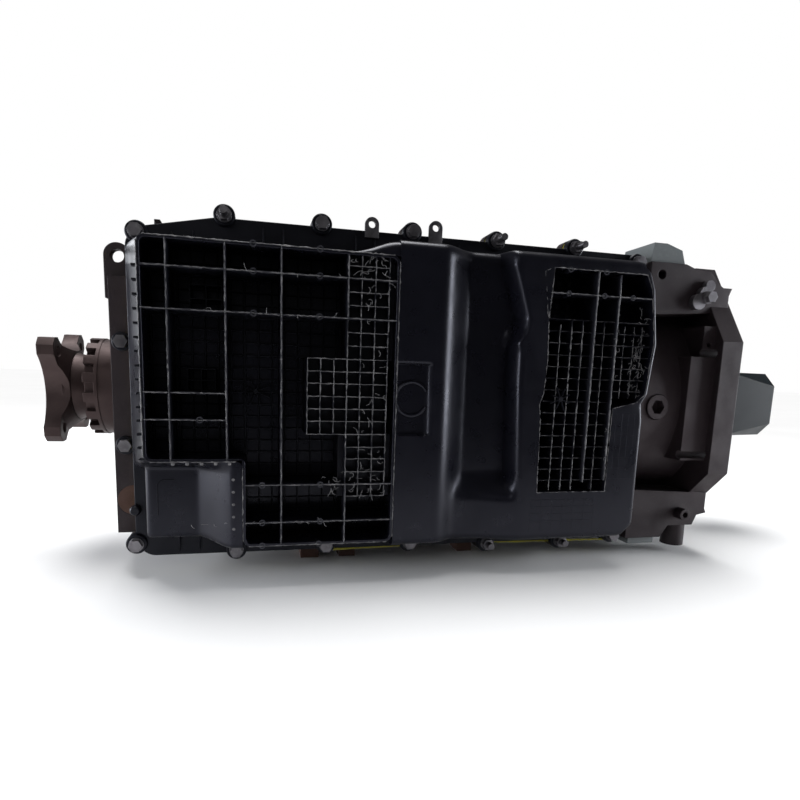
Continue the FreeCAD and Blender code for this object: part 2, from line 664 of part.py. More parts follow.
def oil_pan():
    """Moulded pan: two open ribbed boxes, a smooth saddle between them, and a low hump."""
    flange = outline_body("pan_flange", "XZ_Plane", pan_outline(), "pan_base", "pan_flange")
    bosses = front_bosses("pan_base", "pan_flange + 4")
    left_box = fuse(pan_block(120, -72, 280, 225), pan_block(228, -166, 172, 120))
    hump = pan_block(128, -166, 104, 100, "pan_base + 35")
    saddle_points = [(390, -136), (390, -200), (440, -200), (466, -166), (520, -166), (548, -200),
                     (720, -200), (720, -136)]
    saddle = outline_body("pan_saddle", "XY_Plane", saddle_points, "-pan_bottom", "pan_bottom + pan_top")
    solid = fuse(flange, *bosses, left_box, hump, saddle)
    cells_left = [pan_block(138.3, -68, 255, 218, "pan_rim", "pan_floor"),
                  pan_block(234, -159, 160, 100, "pan_rim", "pan_floor")]
    cells_right = [pan_block(567, -106, 151, 258, "pan_rim", "pan_floor"),
                   pan_block(520, -160, 80, 40, "pan_rim", "pan_floor + 30")]
    inner = [pan_block(124, -68, 272, 217, "pan_floor - pan_skin"),
             pan_block(232, -162, 164, 112, "pan_floor - pan_skin"),
             pan_block(132, -162, 98, 92, "pan_floor - pan_skin + 14"),
             pan_block(394, -167, 322, 331, "pan_floor - pan_skin"),
             pan_block(400, -167, 36, 331, "pan_rim - pan_skin"),
             pan_block(436, -167, 112, 331, "pan_floor + 10")]
    ribs = pan_ribs([(161, -68, 150), (216.5, -68, 150), (272, -159, 150), (341, 83, 150),
                     (341, -159, -94)],
                    [(124.4, 138, 393), (83.5, 138, 393), (1.7, 138, 217), (-25.6, 138, 217),
                     (-94.5, 234, 393), (-135, 234, 393)])
    ribs += pan_ribs([(633, -96, 152), (662.7, -93, 152)],
                     [(124, 567, 718), (60, 567, 718), (0, 567, 718), (-60, 567, 718)])
    shell = cut(solid, *cells_left, *cells_right, *inner)
    screws = [front_rod("screw_radius", "20", str(x), "-pan_base", str(z))
              for x, z in ALL_BOLTS]
    node("oil_pan", cut(fuse(shell, *ribs), *screws))


def pan_gasket():
    body = outline_body("gasket_ring", "XZ_Plane", pan_outline(), "joint_face", "pan_base - joint_face")
    bosses = [front_rod("boss_radius - 1", "pan_base - joint_face", str(x), "-joint_face", str(z))
              for x, z in ALL_BOLTS]
    screws = [front_rod("screw_radius", "pan_base - joint_face", str(x), "-joint_face", str(z))
              for x, z in ALL_BOLTS]
    node("pan_gasket", cut(fuse(body, *bosses), opening("-pan_base", "10"), *screws))


def hydraulics():
    """Valve block and suction strainer in the space under the pan."""
    node("valve_block", cut(block("180", "-144", "-60", "200", "22", "200"),
                            *[front_rod("5", "22", str(200 + 40 * i), "-122", "110")
                              for i in range(5)]))
    node("oil_strainer", fuse(block("404", "-192", "-150", "30", "40", "220"),
                              front_rod("12", "32", "419", "-122", "-110")))


# ---------------------------------------------------------------- fasteners and fittings
def hex_screw(length, stud=0.0):
    """Flanged hexagon screw along -Y, its seat at the origin and its shank towards +Y."""
    front = Vector(0, -1, 0)
    back = Vector(0, 1, 0)
    washer = Part.makeCylinder(d.washer_radius, 2, Vector(), front)
    head = hexagon_prism(d.hex_across, -9)
    shank = Part.makeCylinder(d.screw_radius, length, Vector(), back)
    screw = washer.fuse([head, shank])
    if stud:
        screw = screw.fuse(Part.makeCylinder(d.screw_radius, stud, Vector(0, -9, 0), front))
    return screw.removeSplitter()


def equal_screws(places, seat, stud=0.0):
    """Equal screws at places in X and Z, all seated at one depth."""
    screws = []
    for x, z in places:
        screw = hex_screw(d.screw_length, stud)
        screw.translate(Vector(x, seat, z))
        screws.append(screw)
    return screws


def screw_group(label, screws):
    node(label, shaped(Part.makeCompound(screws)))


def fasteners():
    plain = [place for place in ALL_BOLTS if place not in LONG_STUDS + SHORT_STUDS]
    seat = -d.pan_base - d.pan_flange - d.boss_rise
    screw_group("pan_screws", equal_screws(plain, seat))
    screw_group("pan_stud_screws", equal_screws(LONG_STUDS, seat, d.stud_length)
                + equal_screws(SHORT_STUDS, seat, d.short_stud))
    rear = [(d.rear_screw_x, z) for z in REAR_SCREWS]
    screw_group("rear_housing_screws", equal_screws(rear, -d.rear_front))
    ends = [(-12, -6, 10), (-2, 4, 10), (3, 15, 7)]
    strap = fuse(*[front_rod(str(radius), "strap_width", f"strap_x + {x}", "-slab_face", f"strap_z + {z}")
                   for x, z, radius in ends])
    hole = front_rod("screw_radius + 1", "strap_width", "strap_x", "-slab_face", "strap_z")
    node("lug_washer", cut(strap, hole))
    screw_group("lug_screw", equal_screws([(d.strap_x, d.strap_z)], -d.slab_face - d.strap_width))


def fittings():
    """Plugs, vents, connector and other small pieces fixed to the castings."""
    head = front_rod("filler_head", "6", "filler_x", "4 - bell_barrel", "filler_z")
    shank = front_rod("filler_shank", "14", "filler_x", "18 - bell_barrel", "filler_z")
    socket = shaped(hexagon_prism(d.filler_socket, 12))
    place(socket, "filler_x", "-bell_barrel - 2", "filler_z")
    node("filler_plug", cut(fuse(head, shank), socket))
    node("rear_port_plug", common(rear_port(), block("rear_face", "-rear_front - 1", "port_z - port_radius",
                                                      "112.4 - rear_face", "4", "2 * port_radius")))
    stub = front_rod("breather_radius", "breather_length", "breather_x", "-slab_face", "breather_z")
    hole = front_rod("breather_bore", "breather_length", "breather_x", "-slab_face", "breather_z")
    node("breather_pipe", cut(stub, hole))
    node("drain_valve", rod("15", "30", "828", "-132", "-200", Rotation()))
    node("lower_plug", block("750", "-140", "-196", "40", "50", "10"))
    trapezoid = [(741, 180), (792, 180), (786, 197), (763, 204), (744, 204)]
    node("loom_connector", outline_body("connector", "XZ_Plane", trapezoid, "84", "60"))
    eyelets = []
    for x, z in ((376, 194.6), (452, 197)):
        outer = front_rod("8", "4", str(x), "-pan_base - pan_flange", str(z))
        stem = block(str(x - 8), "-pan_base - pan_flange - 4", "180", "16", "4", str(z - 180))
        eyelets.append(cut(fuse(outer, stem), front_rod("4", "4", str(x), "-pan_base - pan_flange", str(z))))
    group = doc.addObject("Part::Compound", "eyelets")
    group.Links = eyelets
    node("loom_eyelets", group)


def seals():
    width = d.seal_width
    for label, x, outer, shaft in (("output_seal", d.rear_face, d.seal_outer, d.journal_radius),
                                   ("input_seal", d.guide_end - width, d.guide_bore, d.input_radius)):
        ring = Part.makeCylinder(outer, width, Vector(x, 0, 0), Vector(1, 0, 0))
        hole = Part.makeCylinder(shaft + d.running_gap, width, Vector(x, 0, 0), Vector(1, 0, 0))
        node(label, shaped(ring.cut(hole)))


# ---------------------------------------------------------------- build and export
def build():
    output_line()
    tube_shaft()
    brake_pack()
    input_line()
    planetary_set(2, d.output_set, d.tube_shaft_radius)
    planetary_set(1, d.input_set, d.input_radius)
    ball_bearing("output_bearing", d.case_start - d.bearing_width - 2, d.journal_radius)
    seals()
    front_support()
    input_cap()
    main_housing()
    foot_pads()
    rear_housing()
    bell_housing()
    oil_pan()
    pan_gasket()
    hydraulics()
    fasteners()
    fittings()
    doc.recompute()


def check_and_export():
    for item in doc.Objects:
        if "Invalid" in item.State or "Error" in item.State:
            raise RuntimeError(f"{item.Label}: {item.State}")
    os.makedirs("parts", exist_ok=True)
    for item in nodes:
        shape = item.Shape
        if shape.isNull() or not shape.isValid() or not shape.Solids:
            raise RuntimeError(f"{item.Label} has no valid solid")
        shape.exportStep(f"parts/{item.Label}.step")
        box = shape.BoundBox
        print(f"{item.Label:24s} solids {len(shape.Solids):2d}  {shape.Volume / 1000:9.1f} cm3",
              f"x {box.XMin:.0f}..{box.XMax:.0f} y {box.YMin:.0f}..{box.YMax:.0f}",
              f"z {box.ZMin:.0f}..{box.ZMax:.0f}")


build()
check_and_export()
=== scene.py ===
"""Looks of the truck-size planetary gearbox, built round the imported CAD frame.

+X runs along the shaft line, the oil pan faces -Y and +Z is up. Numbers are millimetres
of that frame until a piece's mesh is made. Castings, shafts and fasteners are the CAD
nodes with detailed materials. The moulded oil pan is rebuilt here, with its open ribbed
boxes, moulded cells, saddle, hump and the flash that moulding leaves along the ribs.
"""
import math
import random

import bmesh
import bpy
from mathutils import Matrix, Vector


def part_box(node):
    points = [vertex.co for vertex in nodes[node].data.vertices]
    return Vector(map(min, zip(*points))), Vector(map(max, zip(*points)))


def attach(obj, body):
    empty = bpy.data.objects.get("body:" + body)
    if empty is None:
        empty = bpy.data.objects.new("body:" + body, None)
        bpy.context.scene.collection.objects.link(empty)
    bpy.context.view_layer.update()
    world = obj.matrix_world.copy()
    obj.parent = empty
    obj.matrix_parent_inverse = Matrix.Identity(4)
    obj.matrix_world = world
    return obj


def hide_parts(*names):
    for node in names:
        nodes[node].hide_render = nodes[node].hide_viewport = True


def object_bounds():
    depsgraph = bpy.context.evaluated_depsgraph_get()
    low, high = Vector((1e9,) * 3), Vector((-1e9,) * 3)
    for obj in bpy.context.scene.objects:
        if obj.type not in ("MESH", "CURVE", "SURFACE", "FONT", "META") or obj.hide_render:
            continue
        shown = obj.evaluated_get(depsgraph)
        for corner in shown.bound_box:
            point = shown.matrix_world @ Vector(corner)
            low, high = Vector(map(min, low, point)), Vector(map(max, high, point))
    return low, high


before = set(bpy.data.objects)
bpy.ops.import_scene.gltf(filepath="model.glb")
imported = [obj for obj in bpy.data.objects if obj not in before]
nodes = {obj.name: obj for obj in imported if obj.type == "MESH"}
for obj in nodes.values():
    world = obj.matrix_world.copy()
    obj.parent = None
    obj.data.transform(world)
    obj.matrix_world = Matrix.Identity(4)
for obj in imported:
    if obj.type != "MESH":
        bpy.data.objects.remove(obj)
cad_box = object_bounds()
draw = random.Random(7)
MM = 0.001

# levels of the pan, as distances along Y
pan_low, pan_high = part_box("oil_pan")
RIM = pan_low.y / MM + 0.7
BASE = pan_high.y / MM
FLANGE = BASE - 6
BOSS = BASE - 10
FLOOR = BASE - 20
SHALLOW = RIM + 13
CELL_X, CELL_Z = 14.3, 13.5
RIB = 2.2
FINE_RIB = 1.5


# ---------------------------------------------------------------- mesh helpers
def ease(low, high, value):
    """0 below low, 1 above high and a smooth step between them."""
    share = min(1.0, max(0.0, (value - low) / (high - low)))
    return share * share * (3 - 2 * share)


def along(points, z):
    """X at height z on a polyline of (x, z) places listed from the top down."""
    if z >= points[0][1]:
        return points[0][0]
    for (x_high, high), (x_low, low) in zip(points, points[1:]):
        if z >= low:
            return x_low + (x_high - x_low) * (z - low) / (high - low)
    return points[-1][0]


def spread(low, high, pitch):
    """Evenly spaced places from low to high, about a pitch apart."""
    count = max(1, round((high - low) / pitch))
    return [low + (high - low) * index / count for index in range(count + 1)]


def rounded(corners, radius, steps=5):
    """A closed (x, z) outline whose corners are turned by short curves."""
    points = []
    for index, place in enumerate(corners):
        corner = Vector(place)
        before = Vector(corners[index - 1]) - corner
        after = Vector(corners[(index + 1) % len(corners)]) - corner
        start = corner + before.normalized() * min(radius, before.length / 2)
        end = corner + after.normalized() * min(radius, after.length / 2)
        for step in range(steps + 1):
            share = step / steps
            points.append(start * (1 - share) ** 2 + corner * 2 * share * (1 - share) + end * share ** 2)
    return points


def circle(x, z, radius, steps=24):
    """A closed ring of (x, z) places."""
    return [(x + radius * math.cos(2 * math.pi * index / steps),
             z + radius * math.sin(2 * math.pi * index / steps)) for index in range(steps)]


def level(outline, y):
    """An (x, z) outline placed at one depth."""
    return [(x, y, z) for x, z in outline]


class Piece:
    """A mesh in the making, which ends as one object that rides on a body."""

    def __init__(self, name):
        self.name = name
        self.mesh = bmesh.new()

    def point(self, x, y, z):
        return self.mesh.verts.new((x * MM, y * MM, z * MM))

    def skin(self, rings):
        """Faces between rings of equal length, with both ends closed."""
        rows = [[self.point(*place) for place in ring] for ring in rings]
        for lower, upper in zip(rows, rows[1:]):
            for index, corner in enumerate(lower):
                following = (index + 1) % len(lower)
                self.mesh.faces.new((corner, lower[following], upper[following], upper[index]))
        self.mesh.faces.new(rows[0][::-1])
        self.mesh.faces.new(rows[-1])

    def block(self, x, y, z):
        """A box from pairs of low and high places."""
        self.skin([[(x[0], depth, z[0]), (x[1], depth, z[0]), (x[1], depth, z[1]), (x[0], depth, z[1])]
                   for depth in y])

    def sheet(self, columns, rows, place):
        """An open sheet; place gives the point of a column and a row."""
        grid = [[self.point(*place(column, row)) for column in columns] for row in rows]
        for lower, upper in zip(grid, grid[1:]):
            for index in range(len(columns) - 1):
                self.mesh.faces.new((lower[index], lower[index + 1], upper[index + 1], upper[index]))
        return grid

    def wall(self, loop, foot):
        """A wall from a closed loop of corners to where foot puts each of them."""
        feet = [self.point(*foot(*(corner.co / MM))) for corner in loop]
        for index, corner in enumerate(loop):
            following = (index + 1) % len(loop)
            self.mesh.faces.new((corner, loop[following], feet[following], feet[index]))

    def finish(self, material, bevel=0.0, angle=40, stands_for=()):
        bmesh.ops.recalc_face_normals(self.mesh, faces=self.mesh.faces)
        data = bpy.data.meshes.new(self.name)
        self.mesh.to_mesh(data)
        self.mesh.free()
        data.shade_smooth()
        data.set_sharp_from_angle(angle=math.radians(angle))
        piece = bpy.data.objects.new(self.name, data)
        bpy.context.scene.collection.objects.link(piece)
        data.materials.append(material)
        if bevel:
            soft = piece.modifiers.new("rounding", "BEVEL")
            soft.width = bevel * MM
            soft.segments = 2
            soft.limit_method = "ANGLE"
            soft.angle_limit = math.radians(35)
            soft.use_clamp_overlap = True
        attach(piece, "housing")
        if stands_for:
            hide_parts(*stands_for)
        return piece


def grid_border(grid, rows, columns):
    """The loop of corners round a block of a sheet's grid."""
    low_row, high_row = rows
    low_column, high_column = columns
    loop = [grid[low_row][index] for index in range(low_column, high_column)]
    loop += [grid[index][high_column] for index in range(low_row, high_row)]
    loop += [grid[high_row][index] for index in range(high_column, low_column, -1)]
    loop += [grid[index][low_column] for index in range(high_row, low_row, -1)]
    return loop


# ---------------------------------------------------------------- materials
def surface(name, dark, light, rough, metallic=0.0, mottle=9.0, grain=(1100.0, 0.25), soften=0.0,
            crest=None, gloss=0.5, tint=(1.0, 1.0, 1.0)):
    """Two mottled tones, uneven roughness and a fine grain. soften rounds a casting's edges,
    crest is a pale tone painted as a highlight, in noisy patches, on what reaches the pan's rim,
    and gloss and tint are the strength and the colour of the reflection."""
    made = bpy.data.materials.new(name)
    made.use_nodes = True
    tree = made.node_tree
    shader = tree.nodes["Principled BSDF"]
    shader.inputs["Metallic"].default_value = metallic
    shader.inputs["Specular IOR Level"].default_value = gloss
    shader.inputs["Specular Tint"].default_value = (*tint, 1.0)
    place = tree.nodes.new("ShaderNodeTexCoord").outputs["Object"]

    def noise(scale, detail=4.0):
        node = tree.nodes.new("ShaderNodeTexNoise")
        node.inputs["Scale"].default_value = scale
        node.inputs["Detail"].default_value = detail
        tree.links.new(place, node.inputs["Vector"])
        return node.outputs["Fac"]

    def mapped(value, low, high, from_low=0.3, from_high=0.7):
        node = tree.nodes.new("ShaderNodeMapRange")
        limits = {"From Min": from_low, "From Max": from_high, "To Min": low, "To Max": high}
        for socket, number in limits.items():
            node.inputs[socket].default_value = number
        tree.links.new(value, node.inputs["Value"])
        return node.outputs["Result"]

    def blended(share, first, second):
        node = tree.nodes.new("ShaderNodeMix")
        node.data_type = "RGBA"
        tree.links.new(share, node.inputs["Factor"])
        for socket, tone in ((node.inputs["A"], first), (node.inputs["B"], second)):
            if isinstance(tone, tuple):
                socket.default_value = (*tone, 1.0)
            else:
                tree.links.new(tone, socket)
        return node.outputs["Result"]

    tone = blended(mapped(noise(mottle, 8.0), 0.0, 1.0), dark, light)
    specks = mapped(noise(260.0, 2.0), 0.0, 0.35, 0.56, 0.72)
    tone = blended(specks, tone, light)
    # painted highlight: a pale tone on the surfaces at the rim's level, the rib crests, broken into noisy
    # patches
    if crest:
        axes = tree.nodes.new("ShaderNodeSeparateXYZ")
        tree.links.new(place, axes.inputs["Vector"])
        height = mapped(axes.outputs["Y"], 1.0, 0.0, (RIM - 0.2) * MM, (RIM + 2.0) * MM)
        crest_highlight_share = tree.nodes.new("ShaderNodeMath")
        crest_highlight_share.operation = "MULTIPLY"
        tree.links.new(height, crest_highlight_share.inputs[0])
        tree.links.new(mapped(noise(70.0), 0.35, 1.0, 0.35, 0.6), crest_highlight_share.inputs[1])
        tone = blended(crest_highlight_share.outputs["Value"], tone, crest)
    tree.links.new(tone, shader.inputs["Base Color"])
    tree.links.new(mapped(noise(45.0), rough[0], rough[1]), shader.inputs["Roughness"])
    bump = tree.nodes.new("ShaderNodeBump")
    bump.inputs["Strength"].default_value = grain[1]
    bump.inputs["Distance"].default_value = 0.4 * MM
    tree.links.new(noise(grain[0], 3.0), bump.inputs["Height"])
    if soften:
        edge = tree.nodes.new("ShaderNodeBevel")
        edge.samples = 4
        edge.inputs["Radius"].default_value = soften * MM
        tree.links.new(edge.outputs["Normal"], bump.inputs["Normal"])
    tree.links.new(bump.outputs["Normal"], shader.inputs["Normal"])
    return made


plastic = surface("pan_plastic", (0.0035, 0.0035, 0.006), (0.006, 0.006, 0.010), (0.25, 0.36),
                  grain=(1500.0, 0.12), gloss=0.27, tint=(0.84, 0.85, 1.0))
# its crest tone is a painted highlight along the rib crests
ribbed = surface("pan_ribbed", (0.003, 0.003, 0.005), (0.006, 0.006, 0.009), (0.34, 0.5),
                 grain=(900.0, 0.25), crest=(0.05, 0.05, 0.058), gloss=0.25, tint=(0.86, 0.88, 1.0))
torn = surface("pan_flash", (0.05, 0.05, 0.056), (0.20, 0.195, 0.20), (0.5, 0.8), mottle=60.0,
               grain=(2500.0, 0.5))
casting = surface("cast_paint", (0.016, 0.0100, 0.0125), (0.034, 0.0225, 0.0265), (0.5, 0.7), metallic=0.35,
                  mottle=7.0, grain=(1300.0, 0.55), soften=1.6)
iron = surface("foot_iron", (0.05, 0.024, 0.018), (0.11, 0.055, 0.04), (0.6, 0.85), metallic=0.3, soften=1.0)
flange_steel = surface("flange_steel", (0.034, 0.021, 0.021), (0.068, 0.046, 0.044), (0.38, 0.6),
                       metallic=0.75, grain=(900.0, 0.35), soften=0.9)
zinc = surface("zinc_steel", (0.11, 0.105, 0.115), (0.25, 0.24, 0.255), (0.28, 0.5), metallic=0.9,
               mottle=60.0, grain=(2200.0, 0.25), soften=0.5)
machined = surface("gear_steel", (0.22, 0.21, 0.21), (0.36, 0.35, 0.34), (0.2, 0.38), metallic=1.0,
                   mottle=30.0, grain=(2600.0, 0.2), soften=0.5)
brass = surface("bush_brass", (0.34, 0.22, 0.08), (0.5, 0.34, 0.13), (0.25, 0.4), metallic=1.0)
lining = surface("lining", (0.09, 0.05, 0.03), (0.16, 0.10, 0.06), (0.75, 0.92), grain=(1800.0, 0.7))
rubber = surface("seal_rubber", (0.008, 0.008, 0.008), (0.018, 0.018, 0.018), (0.5, 0.7))
gasket = surface("gasket_rubber", (0.30, 0.27, 0.02), (0.52, 0.48, 0.05), (0.45, 0.65))
cap_blue = surface("cap_plastic", (0.0035, 0.0062, 0.0082), (0.0056, 0.0092, 0.0118), (0.32, 0.46),
                   mottle=14.0, grain=(1400.0, 0.2), soften=1.2, gloss=0.2)
pale = surface("pale_plastic", (0.12, 0.135, 0.14), (0.20, 0.22, 0.225), (0.4, 0.55), soften=0.8)
alloy = surface("valve_alloy", (0.25, 0.25, 0.26), (0.40, 0.40, 0.41), (0.35, 0.55), metallic=0.9)

CAD_FINISHES = (
    (casting, "main_housing rear_housing bell_housing filler_plug breather_pipe drain_valve"),
    (iron, "foot_pads rear_port_plug"),
    (flange_steel, "output_flange pulse_wheel"),
    (zinc, "pan_screws pan_stud_screws rear_housing_screws lug_washer lug_screw flange_nut loom_eyelets"),
    (machined, "output_shaft output_carrier_plate planet_pins_2 input_carrier input_carrier_plate "
               "planet_pins_1 input_shaft ring_gear_1 ring_gear_2 sun_gear_1 sun_gear_2 planet_gear_1a "
               "planet_gear_1b planet_gear_1c planet_gear_2a planet_gear_2b planet_gear_2c brake_hub "
               "brake_steel_plates output_bearing front_support pump_cover pump_drive_gear pump_gear "
               "pump_pin"),
    (brass, "planet_bush_1a planet_bush_1b planet_bush_1c planet_bush_2a planet_bush_2b planet_bush_2c"),
    (lining, "brake_lined_plates"),
    (rubber, "output_seal input_seal"),
    (gasket, "pan_gasket"),
    (cap_blue, "input_cap"),
    (pale, "loom_connector lower_plug"),
    (alloy, "valve_block oil_strainer"),
)


def dress_cad_nodes():
    for material, names in CAD_FINISHES:
        for name in names.split():
            data = nodes[name].data
            data.materials.clear()
            data.materials.append(material)


# ---------------------------------------------------------------- parts of the pan
# corners nearer together than this, seen along Y, belong to one fastener
FASTENER_SPAN = 20


def places_of(name):
    """Centre of each fastener of a node, in X and Z, found from gaps between its corners."""
    groups = []
    for vertex in nodes[name].data.vertices:
        place = Vector((vertex.co.x, vertex.co.z)) / MM
        for group in groups:
            if (group[0] - place).length < FASTENER_SPAN:
                group.append(place)
                break
        else:
            groups.append([place])
    centres = []
    for group in groups:
        xs = [place.x for place in group]
        zs = [place.y for place in group]
        centres.append(((min(xs) + max(xs)) / 2, (min(zs) + max(zs)) / 2))
    return centres


def rib(piece, start, end, top=RIM, foot=FLOOR, width=RIB):
    """A tapered rib between two (x, z) places, as uneven as moulded plastic."""
    first, last = Vector(start), Vector(end)
    run = last - first
    side = Vector((-run.y, run.x)).normalized()
    count = max(2, round(run.length / 6.0) + 1)
    rings = []
    for index in range(count):
        middle = first + run * index / (count - 1) + side * draw.uniform(-0.2, 0.2)
        crest = top + draw.uniform(0.0, 0.4)
        section = ((-0.7, foot), (-0.5, crest + 0.9), (-0.25, crest), (0.25, crest), (0.5, crest + 0.9),
                   (0.7, foot))
        rings.append([(middle.x + side.x * width * share, depth, middle.y + side.y * width * share)
                      for share, depth in section])
    piece.skin(rings)


def bead(piece, path, radii, sides=5):
    """A thin solid that follows a path of points, with a radius for each of them."""
    rings = []
    for index, place in enumerate(path):
        ahead = Vector(path[min(index + 1, len(path) - 1)]) - Vector(path[max(index - 1, 0)])
        across = ahead.cross(Vector((0, 1, 0)))
        if across.length < 1e-6:
            across = Vector((1, 0, 0))
        across.normalize()
        up = across.cross(ahead).normalized()
        ring = []
        for corner in range(sides):
            angle = 2 * math.pi * corner / sides
            reach = across * math.cos(angle) + up * math.sin(angle)
            ring.append(tuple(Vector(place) + reach * radii[index]))
        rings.append(ring)
    piece.skin(rings)


def flash(piece, start, end, top=RIM, weight=1.0):
    """The torn, pale skin that moulding leaves along a rib's crest."""
    first, last = Vector(start), Vector(end)
    run = last - first
    side = Vector((-run.y, run.x)).normalized()
    count = max(3, round(run.length / 3.0) + 1)
    path = []
    radii = []
    for index in range(count):
        middle = first + run * index / (count - 1) + side * draw.uniform(-0.35, 0.35)
        path.append((middle.x, top + 0.3 + draw.uniform(-0.2, 0.3), middle.y))
        radii.append(weight * draw.choice((0.25, 0.35, 0.45, 0.5, 0.6, 0.85)))
    bead(piece, path, radii)


def fibre(piece, x, z, length, top=RIM):
    """A curl of torn plastic lying on the ribs."""
    heading = draw.uniform(0, 2 * math.pi)
    bend = draw.uniform(-0.5, 0.5)
    steps = 6
    path = []
    for index in range(steps + 1):
        path.append((x, top + 0.1 + draw.uniform(0, 0.6), z))
        x += length / steps * math.cos(heading)
        z += length / steps * math.sin(heading)
        heading += bend + draw.uniform(-0.3, 0.3)
    bead(piece, path, [0.28] * len(path), 4)


def cell_pads(piece, x_range, z_range, foot, rise):
    """Raised squares with round corners, one in each cell of a moulded grid."""
    inset, slope = 1.7, 1.2
    columns = spread(*x_range, CELL_X)
    rows = spread(*z_range, CELL_Z)
    for left, right in zip(columns, columns[1:]):
        for low, high in zip(rows, rows[1:]):
            outline = [(left + inset, low + inset), (right - inset, low + inset),
                       (right - inset, high - inset), (left + inset, high - inset)]
            top = inset + slope
            inner = [(left + top, low + top), (right - top, low + top), (right - top, high - top),
                     (left + top, high - top)]
            wall = rounded(outline, 3.0, 3)
            piece.skin([level(wall, foot + 0.4), level(wall, foot - rise + 0.7),
                        level(rounded(inner, 2.2, 3), foot - rise)])


def fine_grid(piece, crests, xs, zs, top, foot, pale_crests=True):
    """Crossing fine ribs; the crests take their own flash."""
    for x in xs:
        rib(piece, (x, zs[0]), (x, zs[-1]), top, foot, FINE_RIB)
        if pale_crests:
            flash(crests, (x, zs[0]), (x, zs[-1]), top, 0.9)
    for z in zs:
        rib(piece, (xs[0], z), (xs[-1], z), top + 0.2, foot, FINE_RIB)
        if pale_crests:
            flash(crests, (xs[0], z), (xs[-1], z), top, 0.9)


def ejector_mark(piece, x, z, radius):
    """The hollow round mark that a pin of the mould leaves on a rib."""
    rings = ((radius, RIM + 12), (radius - 0.2, RIM - 0.2), (radius - 1.4, RIM - 0.2),
             (radius - 1.6, RIM + 1.0))
    piece.skin([level(circle(x, z, size, 20), depth) for size, depth in rings])


def star(piece, x, z, radius, foot, top):
    """The gate of the mould: short ribs that meet in a point."""
    for index in range(8):
        angle = math.pi / 8 + math.pi * index / 4
        reach = radius * draw.uniform(0.85, 1.05)
        rib(piece, (x + 2 * math.cos(angle), z + 2 * math.sin(angle)),
            (x + reach * math.cos(angle), z + reach * math.sin(angle)), top, foot, 1.3)
    piece.skin([level(circle(x, z, 4.0, 16), foot), level(circle(x, z, 2.6, 16), top)])


# left ribbed box: its rim and where its walls meet the flange, as (x, z) corners
LEFT_RIM = [(135, -69), (135, 152), (396, 150.5), (396, -161.5), (232, -161.5), (232, -69)]
LEFT_FOOT = [(113, -86), (113, 158), (398, 166), (398, -166), (229, -166), (229, -88)]
LEFT_INNER = [(138, -66), (138, 149.2), (393.2, 147.7), (393.2, -158.8), (234.8, -158.8), (234.8, -66)]
# tall ribs of the left box: x with low and high z, then z with low and high x
LEFT_COLUMNS = [(161, -68, 150), (216.5, -68, 150), (272, -160, 150), (341, 83.5, 150), (341, -160, -94.5)]
LEFT_ROWS = [(124.4, 137, 394), (83.5, 137, 394), (1.7, 137, 216.5), (-25.6, 137, 216.5),
             (-94.5, 234, 394), (-135.5, 234, 394)]
EJECTORS = [(244, 151), (311, 151), (244, 124.4), (311, 124.4), (244, 83.5), (311, 83.5), (190, -25.6),
            (252, -94.5), (314, -94.5), (252, -135.5), (314, -135.5), (252, -161), (313, -161)]
# fine grids that stand near the rim: x lines, z lines
MIDDLE_LINES = (41, 27.6, 14.8, 1.2, -12.2, -25.4, -39.4)
RAISED_GRIDS = [
    ((299, 312.7, 327, 341), MIDDLE_LINES),
    ((341, 355.3, 370.1, 385), (150, 137, 124.4, 110.5, 97, 83.5, 69, 55, *MIDDLE_LINES)),
    ((341, 355.3, 370.1, 385), (-39.4, -53.5, -66.3, -80.7, -94.5, -108)),
]


